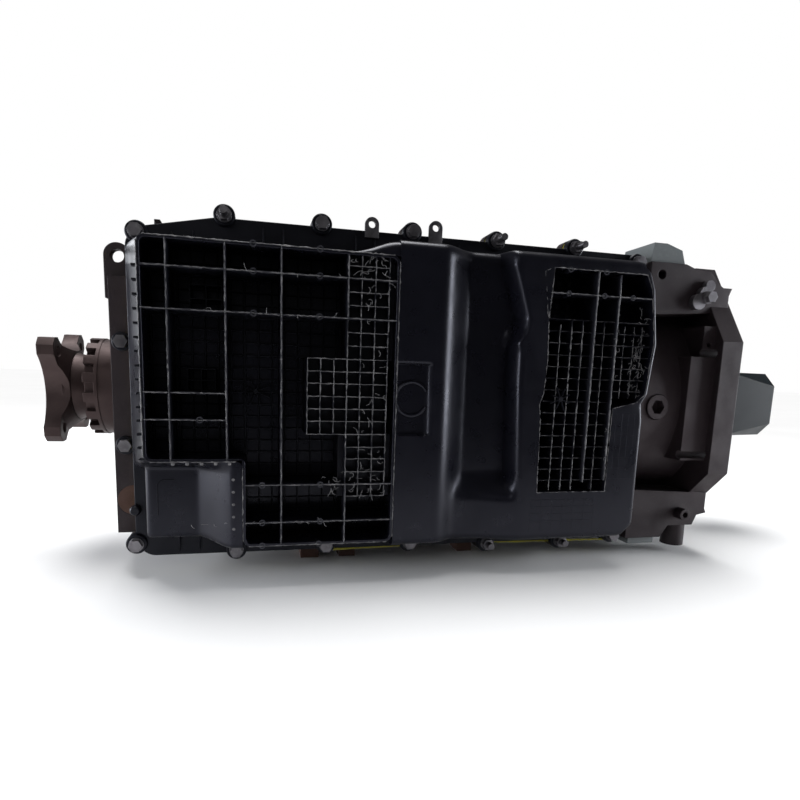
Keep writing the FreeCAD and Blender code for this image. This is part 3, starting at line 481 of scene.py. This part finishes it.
def left_box():
    """The big open box on the left: its shell, tall ribs, cells and torn crests."""
    shell = Piece("pan_left_box")
    outer = [rounded(LEFT_FOOT, 12), rounded(LEFT_RIM, 9), rounded(LEFT_INNER, 7)]
    shell.skin([level(outer[0], FLANGE + 1), level(outer[1], RIM + 1.2), level(outer[1], RIM),
                level(outer[2], RIM), level(outer[2], RIM + 1.2), level(outer[2], FLOOR)])
    shell.finish(plastic, 0.5, stands_for=("oil_pan",))

    ribs = Piece("pan_left_ribs")
    crests = Piece("pan_left_flash")
    lines = [((x, low), (x, high)) for x, low, high in LEFT_COLUMNS]
    lines += [((low, z), (high, z)) for z, low, high in LEFT_ROWS]
    for start, end in lines:
        rib(ribs, start, end)
        flash(crests, start, end)
    for start, end in zip(LEFT_RIM, LEFT_RIM[1:] + LEFT_RIM[:1]):
        first, last = Vector(start), Vector(end)
        trim = (last - first).normalized() * 6
        flash(crests, first + trim, last - trim, weight=1.1)
    for x, z in EJECTORS:
        ejector_mark(ribs, x, z, 3.6)
    for xs, zs in RAISED_GRIDS:
        fine_grid(ribs, crests, xs, zs, RIM + 1.2, SHALLOW + 1)
    mid = FLOOR - 18
    fine_grid(ribs, crests, (180, 196, 212), (112, 98, 85), mid, FLOOR, False)
    fine_grid(ribs, crests, (176, 190, 204), (26, 14, 3), mid, FLOOR, False)
    star(ribs, 246, 3.5, 17, FLOOR, FLOOR - 5)
    ribs.finish(ribbed, 0.0)

    floors = Piece("pan_left_floor_cells")
    grid_top = FLOOR - 3
    for x_range, z_range in (((139, 234), (-65, 149)), ((235, 393), (-158, 149))):
        xs, zs = spread(*x_range, CELL_X), spread(*z_range, CELL_Z)
        fine_grid(floors, crests, xs, zs, grid_top, FLOOR, False)
    for x, z in (((341, 393), (41, 149)), ((298, 386), (-40, 41)), ((334, 393), (-110, -40))):
        floors.block(x, (SHALLOW, FLOOR + 0.5), z)
    floors.finish(ribbed, 0.0)

    for x, z in [(draw.gauss(368, 14), draw.gauss(130, 16)) for _ in range(26)]:
        fibre(crests, min(x, 386), min(z, 144), draw.uniform(4, 12))
    for x, z in [(draw.uniform(318, 385), draw.gauss(-94, 7)) for _ in range(22)]:
        fibre(crests, x, z, draw.uniform(4, 11))
    for x, z in [(draw.uniform(345, 385), draw.uniform(-112, 100)) for _ in range(26)]:
        fibre(crests, x, z, draw.uniform(4, 10))
    for x, z in [(draw.uniform(150, 380), draw.choice((150, 124.4, 83.5, -135.5))) for _ in range(26)]:
        fibre(crests, x, z, draw.uniform(3, 8))
    crests.finish(torn, 0.0)


# the end casting's front face along Y, and the black ring round each of its screws
END_FACE = -123.9
SCREW_RING = 10.4
KNOB_X, KNOB_Z, KNOB_RADIUS = 114, -133, 6


def left_wall_lugs():
    """Lugs in a row where the drafted left wall meets the rim, the knob beside the hump, and
    the black rings round the screws of the end casting."""
    lugs = Piece("pan_wall_lugs")
    for z in spread(-55, 123.6, 13.8):
        lugs.block((129, 134.5), (RIM + 12, RIM + 4), (z - 1.2, z + 1.2))
    knob = circle(KNOB_X, KNOB_Z, KNOB_RADIUS, 20)
    tip = circle(KNOB_X, KNOB_Z, KNOB_RADIUS - 1.6, 20)
    lugs.skin([level(knob, FLANGE + 1), level(knob, FLANGE - 5), level(tip, FLANGE - 7)])
    for x, z in places_of("rear_housing_screws"):
        ring = circle(x, z, SCREW_RING, 28)
        top = circle(x, z, SCREW_RING - 0.8, 28)
        lugs.skin([level(ring, END_FACE), level(ring, END_FACE - 2.1), level(top, END_FACE - 2.7)])
    lugs.finish(ribbed, 0.5)


# ---- the smooth saddle with the right ribbed box in it
SADDLE_LEFT = 396.6
TOP_EDGE, BOTTOM_EDGE = 168.5, -167.5
OPEN_TOP, OPEN_BOTTOM = 152, -108
OPEN_LEFT = [(576, 152), (573, 96), (575, 48), (573, 10), (568.5, -2), (571, -20), (573, -108)]
OPEN_RIGHT = [(697, 152), (705.5, 135), (714.5, 72), (708.5, 12), (699, 2), (688, -1), (666, -6),
              (665, -108)]
RIGHT_EDGE = [(690, 168), (703, 154), (710.5, 135), (719, 72), (713, 12), (706, 0), (709, -20), (709, -150),
              (692, -168)]
# front edge of the crease: the steep wall between the valley and the right box
CREASE = [(532.5, 151.5), (541.7, 125), (551.4, 95), (549, 76), (543.7, 64.5), (544, 25), (547, -33),
          (550, -93), (551, -107)]
CREASE_WIDTH = 11
LEDGE = -103
VALLEY_LEFT = 446
BUMP_X, BUMP_Z = 539, 72
VALLEY_DEPTH, GROOVE_DEPTH, BUMP_RISE, PANEL_DEPTH = 26, 15, 9, 6
# where the panel's edges start and end to slope
PANEL_X = ((397.5, 399), (432, 436))
PANEL_Z = ((-41, -38), (37, 40))
TOP_ROUND, BOTTOM_ROUND, RIGHT_ROUND = 11, 8, 3.5


def rounding(distance, radius):
    """Depth lost at a distance inside a rounded edge."""
    inside = max(0.0, radius - max(0.0, distance))
    return radius - math.sqrt(radius * radius - inside * inside)


def plateau(edges, value):
    """1 between two sloping edges and 0 beyond them."""
    rise, fall = edges
    return ease(*rise, value) * (1 - ease(*fall, value))


def saddle_depth(x, z):
    """How far the saddle's surface lies behind the rim."""
    crease = along(CREASE, z)
    climb = min(1.0, max(0.0, (x - crease + CREASE_WIDTH) / CREASE_WIDTH))
    upper = ease(VALLEY_LEFT, 490, x) * (1 - climb) ** 2 * VALLEY_DEPTH
    groove = plateau(((VALLEY_LEFT, 478), (484, 560)), x) * GROOVE_DEPTH
    depth = groove + (upper - groove) * ease(LEDGE - 16, LEDGE + 18, z)
    bump = math.exp(-((x - BUMP_X) / 6) ** 2 - ((z - BUMP_Z) / 9) ** 2)
    depth -= min(depth, BUMP_RISE * bump)
    return depth + PANEL_DEPTH * plateau(PANEL_X, x) * plateau(PANEL_Z, z)


def fine_steps(low, high, pitch, edge_steps):
    """Places between two edges, crowded near an edge that is rounded."""
    inner = [value for value in spread(low, high, pitch) if low + 14 < value < high - 14]
    return [low + step for step in edge_steps] + inner + [high - step for step in reversed(edge_steps)]


def saddle():
    """The smooth part between the boxes, cut open where the right box stands."""
    edge_steps = [0, 0.25, 0.9, 2.0, 3.6, 5.6, 8.0, 11.0]
    rows = fine_steps(BOTTOM_EDGE, TOP_EDGE, 3.0, edge_steps)
    # rows through the corners of the opening and the edges of the panel
    rows += [OPEN_TOP, OPEN_BOTTOM, 12, 2, -1, -6, 39, 37, -38, -41]
    rows = sorted(set(round(row, 2) for row in rows))
    valley_shares = [index / 52 for index in range(53)]
    crease_shares = [index / 8 for index in range(1, 9)]
    open_shares = [index / 20 for index in range(1, 21)]
    edge_shares = [0.12, 0.25, 0.4, 0.55, 0.68, 0.8, 0.88, 0.94, 0.98, 1.0]
    columns = [(0, share) for share in valley_shares]
    columns += [(part, share) for part in (1, 2) for share in crease_shares]
    first = len(columns) - 1
    columns += [(3, share) for share in open_shares] + [(4, share) for share in edge_shares]

    def place(column, z):
        front = along(CREASE, z)
        stops = [SADDLE_LEFT, front - CREASE_WIDTH, front, along(OPEN_LEFT, z), along(OPEN_RIGHT, z),
                 along(RIGHT_EDGE, z)]
        part, share = column
        x = stops[part] + (stops[part + 1] - stops[part]) * share
        y = RIM + saddle_depth(x, z)
        y += rounding(TOP_EDGE - z, TOP_ROUND) + rounding(z - BOTTOM_EDGE, BOTTOM_ROUND)
        y += rounding(stops[-1] - x, RIGHT_ROUND)
        return x, y, z

    piece = Piece("pan_saddle")
    grid = piece.sheet(columns, rows, place)
    last = first + len(open_shares)
    bottom, top = rows.index(OPEN_BOTTOM), rows.index(OPEN_TOP)
    hole = grid_border(grid, (bottom, top), (first, last))

    def in_opening(corner):
        x, _, z = corner.co / MM
        slack = 0.01
        return (OPEN_BOTTOM - slack < z < OPEN_TOP + slack
                and along(OPEN_LEFT, z) - slack < x < along(OPEN_RIGHT, z) + slack)

    inside = [face for face in piece.mesh.faces if all(in_opening(corner) for corner in face.verts)]
    bmesh.ops.delete(piece.mesh, geom=inside, context="FACES")

    def hole_foot(x, y, z):
        draft = 1.5
        return x + (draft if x < 620 else -draft), FLOOR, z + (draft if z < 0 else -draft)

    def outer_foot(x, y, z):
        flare = 3.0
        out_x = flare if x > 600 else 0.0
        out_z = flare if z > TOP_EDGE - 4 else -flare if z < BOTTOM_EDGE + 4 else 0.0
        return x + out_x, FLANGE + 1, z + out_z

    piece.wall(hole, hole_foot)
    border = grid_border(grid, (0, len(rows) - 1), (0, len(columns) - 1))
    piece.wall(border, outer_foot)
    piece.finish(plastic, 0.0, angle=60)


def saddle_details():
    """Ring in the saddle's panel, faint grids by the right box, and the left box's shoulder."""
    details = Piece("pan_saddle_details")
    centre_x, centre_z, radius = 414.7, 0.3, 18.6
    arc = [math.radians(28 + 304 * index / 40) for index in range(41)]
    ring = [(centre_x + radius * math.cos(angle), RIM + 5.6, centre_z + radius * math.sin(angle))
            for angle in arc]
    bead(details, ring, [2.0] * len(ring), 8)

    def line(start, end, radius):
        """A faint raised line between two (x, z) places, along X or Z."""
        count = len(spread(0, abs(end[0] - start[0]) + abs(end[1] - start[1]), 6))
        path = [(start[0] + (end[0] - start[0]) * index / (count - 1), RIM + 0.2,
                 start[1] + (end[1] - start[1]) * index / (count - 1)) for index in range(count)]
        bead(details, path, [radius] * count, 6)

    for z in spread(-152, -117, 8.5)[1:]:
        line((566, z), (652, z), 0.5)
    for x in spread(566, 652, CELL_X):
        line((x, -155), (x, -115), 0.5)
    for x in spread(672, 698, 8.5):
        line((x, -92), (x, -12), 0.35)
    for z in spread(-92, -12, CELL_Z):
        line((668, z), (700, z), 0.35)
    details.finish(plastic, 0.0)
    shoulder = Piece("pan_shoulder")
    stations = []
    for x in spread(346, 397, 4):
        rise = 15 * ease(340, 396, x)
        profile = [(FLANGE, 150), (FLANGE, 153 + rise)]
        for index in range(9):
            angle = math.pi / 2 * index / 8
            corner = min(9.0, 2 + rise)
            profile.append((RIM + 0.6 + corner * (1 - math.sin(angle)),
                            151 + rise - corner * (1 - math.cos(angle))))
        profile.append((RIM + 0.6, 150))
        stations.append([(x, y, z) for y, z in profile])
    shoulder.skin(stations)
    shoulder.finish(plastic, 0.0, angle=50)


def right_box():
    """Floor cells, ribs and torn crests in the saddle's opening."""
    floor = Piece("pan_right_floor_cells")
    outline = [(571, -109), (572, 152), (698, 152), (715, 72), (708, 2), (665, -6), (665, -109)]
    floor.skin([level(outline, FLOOR - 0.2), level(outline, FLOOR - 2.2)])
    cell_pads(floor, (573, 663), (-107, 150), FLOOR - 2, 2.4)
    cell_pads(floor, (666, 708), (6, 150), FLOOR - 2, 2.4)
    floor.finish(ribbed, 0.0)

    ribs = Piece("pan_right_ribs")
    crests = Piece("pan_right_flash")
    lines = [((633.4, -96), (633.4, 151)), ((662.7, -94), (662.7, 149)), ((574, 124.5), (706, 124.5))]
    for start, end in lines:
        rib(ribs, start, end)
        flash(crests, start, end)
    middle = RIM + 4
    for x in (590.5, 605.5, 620, 648):
        rib(ribs, (x, -106), (x, 96 if x > 600 else 88), middle, FLOOR, FINE_RIB)
        flash(crests, (x, -106), (x, 90), middle, 1.0)
    for x in (677, 690, 701):
        rib(ribs, (x, 6), (x, 92), RIM + 6, FLOOR, FINE_RIB)
        flash(crests, (x, 6), (x, 92), RIM + 6, 0.8)
    # the pale flash on these horizontal ribs is thin, weight 0.4 against 1.0 on the upright ribs: painted
    # shade, standing for the side lamps leaving the horizontal ribs darker
    for z in spread(-94, 96, CELL_Z):
        right = 663 if z < 6 else along(OPEN_RIGHT, z) - 1
        rib(ribs, (575, z), (right, z), middle + 1, FLOOR, FINE_RIB)
        flash(crests, (590 if z > 70 else 575, z), (right, z), middle + 1, 0.4)
    for x, z in ((596, 151), (642, 151), (596, 124.5), (642, 124.5), (680, 124.5)):
        ejector_mark(ribs, x, z, 3.4)
    star(ribs, 597, 4, 14, middle + 2, middle - 2)
    ribs.finish(ribbed, 0.0)

    for start, end in zip(OPEN_LEFT, OPEN_LEFT[1:]):
        flash(crests, start, end, weight=1.1)
    for start, end in zip(OPEN_RIGHT, OPEN_RIGHT[1:]):
        flash(crests, start, end, weight=0.8)
    flash(crests, (576, OPEN_TOP), (697, OPEN_TOP), weight=1.1)
    flash(crests, (573, OPEN_BOTTOM), (664, OPEN_BOTTOM), weight=0.8)
    flash(crests, (564.5, 147.5), (572, 96), weight=0.8)
    flash(crests, (564.5, 147.5), (576, 152), weight=0.8)
    for x, z in [(draw.gauss(697, 7), draw.uniform(8, 112)) for _ in range(60)]:
        fibre(crests, min(x, along(OPEN_RIGHT, z) - 4), z, draw.uniform(3, 9), RIM + 4)
    for x, z in [(draw.uniform(660, 668), draw.uniform(-94, 90)) for _ in range(16)]:
        fibre(crests, x, z, draw.uniform(3, 8))
    crests.finish(torn, 0.0)


# ---- the low hump in the corner under the left box
HUMP_FACE = BASE - 35
RAMP_START, RAMP_END = 183, 221


def hump():
    """The hump with its ramp up to the rim, the pips beside it and the line on its face."""
    left, right = 129, 231.5
    low, high = -164, -67.5

    def place(x, z):
        ramp = min(1.0, max(0.0, (x - RAMP_START) / (RAMP_END - RAMP_START)))
        face = HUMP_FACE + (RIM - HUMP_FACE) * (0.7 * ramp + 0.3 * ease(RAMP_START, RAMP_END, x))
        bottom = low + 5 * (1 - ease(186, 216, x))
        inset = max(0.0, bottom - z)
        depth = face + rounding(x - left, 7) + rounding(z - bottom, 6)
        climb = ease(-81, high, z) * (RIM - face) * 0.96
        return x, min(FLANGE, depth + climb + inset), max(z, bottom)

    columns = [left + step for step in (0, 0.3, 1, 2.2, 4, 6.5)] + spread(138, right, 2.6)
    rows = [low + step for step in (0, 0.3, 1.0, 2.2, 4, 5, 5.3, 6.0, 7.2, 9, 11.5)]
    rows += spread(-150, high, 2.6)
    piece = Piece("pan_hump")
    grid = piece.sheet(columns, rows, place)
    border = grid_border(grid, (0, len(rows) - 1), (0, len(columns) - 1))
    piece.wall(border, lambda x, y, z: (x - (3 if x < 140 else 0), FLANGE + 1, z - (3 if z < -150 else 0)))
    piece.finish(plastic, 0.0, angle=60)
    pips = Piece("pan_hump_pips")
    spots = [(222.5, z) for z in spread(-141.5, -88, CELL_Z)] + [(x, -71) for x in spread(163, 219, CELL_X)]
    for x, z in spots:
        pips.skin([level(circle(x, z, 1.9, 12), RIM + 2), level(circle(x, z, 1.7, 12), RIM + 0.1),
                   level(circle(x, z, 0.9, 12), RIM - 0.5)])
    pips.finish(torn, 0.0)
    mark = Piece("pan_hump_line")
    corners = [(142, -133), (142, -98), (147, -93.5), (160, -93.5)]
    for start, end in zip(corners, corners[1:]):
        bead(mark, [(start[0], HUMP_FACE, start[1]), (end[0], HUMP_FACE, end[1])], [0.6, 0.6], 6)
    mark.finish(ribbed, 0.0)


# ---- the flange that carries the pan's screws
PAN_OUTLINE = [(113, 158), (125, 172), (206, 188), (720, 188), (735, 176), (735, -178), (718, -187),
               (128, -187), (113, -176)]
SKIRT_RIBS = (160, 182, 255, 277, 358, 380, 461, 483, 565, 588, 684, 707)
SKIRT_TOP, SKIRT_BOTTOM = 186.5, -186
SKIRT_SLOPE = (16 / 81, 140.3)
UPPER_WALL, LOWER_WALL = 150, -160
BOSS_RADIUS = 11.5


def flange():
    """The flange, a round boss at each screw, and the thin ribs from its edge to the walls."""
    piece = Piece("pan_flange")
    outline = rounded(PAN_OUTLINE, 6, 4)
    piece.skin([level(outline, BASE - 0.1), level(outline, FLANGE)])
    for x, z in places_of("pan_screws") + places_of("pan_stud_screws"):
        ring = circle(x, z, BOSS_RADIUS, 32)
        top = circle(x, z, BOSS_RADIUS - 0.9, 32)
        piece.skin([level(ring, BASE - 0.1), level(ring, BOSS + 1.5), level(top, BOSS + 0.1)])
    for x in SKIRT_RIBS:
        left, right = x - 0.9, x + 0.9
        top_edge = min(SKIRT_TOP, x * SKIRT_SLOPE[0] + SKIRT_SLOPE[1])
        for edge, wall in ((top_edge, UPPER_WALL), (SKIRT_BOTTOM, LOWER_WALL)):
            rings = []
            for depth, share in ((FLANGE + 1, 0.0), (FLANGE - 8, 1.0)):
                end = edge + (wall - edge) * share * 0.9
                rings.append([(left, depth, end), (right, depth, end), (right, depth, wall),
                              (left, depth, wall)])
            piece.skin(rings)
    piece.finish(ribbed, 0.6)


# ---------------------------------------------------------------- room, light and camera
CAMERA_PLACE = Vector((0.2457, -0.800, 0.025))
CAMERA_RIGHT = Vector((0.973196, -0.227894, 0.030875))
CAMERA_UP = Vector((0.005104, 0.155626, 0.987803))
CAMERA_BACK = Vector((-0.229919, -0.961169, 0.152618))


def camera():
    """The photograph's viewpoint and framing."""
    data = bpy.data.cameras.new("camera")
    data.sensor_width = 36
    data.lens = 25.263
    data.shift_x = 0.0144
    data.shift_y = 0.0781
    data.clip_start = 0.01
    eye = bpy.data.objects.new("camera", data)
    turn = Matrix((CAMERA_RIGHT, CAMERA_UP, CAMERA_BACK)).transposed()
    eye.matrix_world = Matrix.Translation(CAMERA_PLACE) @ turn.to_4x4()
    bpy.context.scene.collection.objects.link(eye)
    bpy.context.scene.camera = eye


def lamp(name, place, target, size, power, tone=(1, 1, 1)):
    """A rectangular lamp at a place, turned towards a target."""
    data = bpy.data.lights.new(name, "AREA")
    data.shape = "RECTANGLE"
    data.size, data.size_y = size
    data.energy = power
    data.color = tone
    light = bpy.data.objects.new(name, data)
    light.location = place
    light.rotation_mode = "QUATERNION"
    light.rotation_quaternion = (Vector(target) - Vector(place)).to_track_quat("-Z", "Y")
    bpy.context.scene.collection.objects.link(light)


def room():
    """Pale floor, white backdrop, soft daylight and the lamps."""
    floor_level = cad_box[0].z
    data = bpy.data.meshes.new("floor")
    half, near = 30.0, -0.64
    data.from_pydata([(-half, near, floor_level), (half, near, floor_level), (half, half, floor_level),
                      (-half, half, floor_level)], [], [(0, 1, 2, 3)])
    floor = bpy.data.objects.new("floor", data)
    bpy.context.scene.collection.objects.link(floor)
    data.materials.append(surface("studio_floor", (0.86, 0.86, 0.86), (0.9, 0.9, 0.9), (0.85, 0.95),
                                  mottle=1.5, grain=(300.0, 0.02), gloss=0.0))
    world = bpy.data.worlds.new("studio")
    bpy.context.scene.world = world
    world.use_nodes = True
    tree = world.node_tree
    backdrop = tree.nodes["Background"]
    backdrop.inputs["Color"].default_value = (1.0, 1.0, 1.0, 1.0)
    seen = tree.nodes.new("ShaderNodeLightPath")
    strength = tree.nodes.new("ShaderNodeMapRange")
    strength.inputs["To Min"].default_value = 0.07
    strength.inputs["To Max"].default_value = 1.0
    tree.links.new(seen.outputs["Is Camera Ray"], strength.inputs["Value"])
    tree.links.new(strength.outputs["Result"], backdrop.inputs["Strength"])
    daylight = bpy.data.lights.new("daylight", "SUN")
    daylight.energy = 3.3
    daylight.angle = math.radians(40)
    sky = bpy.data.objects.new("daylight", daylight)
    sky.rotation_euler = (math.radians(-14), 0, 0)
    bpy.context.scene.collection.objects.link(sky)
    lamp("left_window", (-1.9, -0.05, 0.12), (0.1, -0.15, 0.0), (1.5, 1.0), 75, (0.92, 0.95, 1.0))
    lamp("rear_left_window", (-1.0, 1.6, 0.4), (0.1, 0.0, 0.0), (1.0, 0.9), 8, (0.92, 0.95, 1.0))
    lamp("right_window", (2.4, -0.55, 0.1), (0.5, -0.15, 0.0), (0.9, 1.0), 34, (0.92, 0.95, 1.0))
    lamp("front_fill", (-0.6, -2.2, 1.2), (0.4, -0.1, 0.0), (1.2, 0.8), 4)


def sealant():
    """Bead of sealant squeezed out under the pan."""
    line = [(334.6, -189.5), (428, -188), (517, -182), (560, -188.5), (725, -190.6)]
    piece = Piece("joint_sealant")
    for (left, low), (right, high) in zip(line, line[1:]):
        path = []
        for x in spread(left, right, 6):
            share = (x - left) / (right - left)
            path.append((x, BASE - 2 + draw.uniform(-0.4, 0.4), low + (high - low) * share))
        bead(piece, path, [draw.uniform(1.0, 1.6) for _ in path], 6)
    piece.finish(gasket, 0.0)


camera()
dress_cad_nodes()
left_box()
left_wall_lugs()
saddle()
saddle_details()
right_box()
hump()
flange()
sealant()
room()
bpy.context.scene.view_settings.view_transform = "Standard"
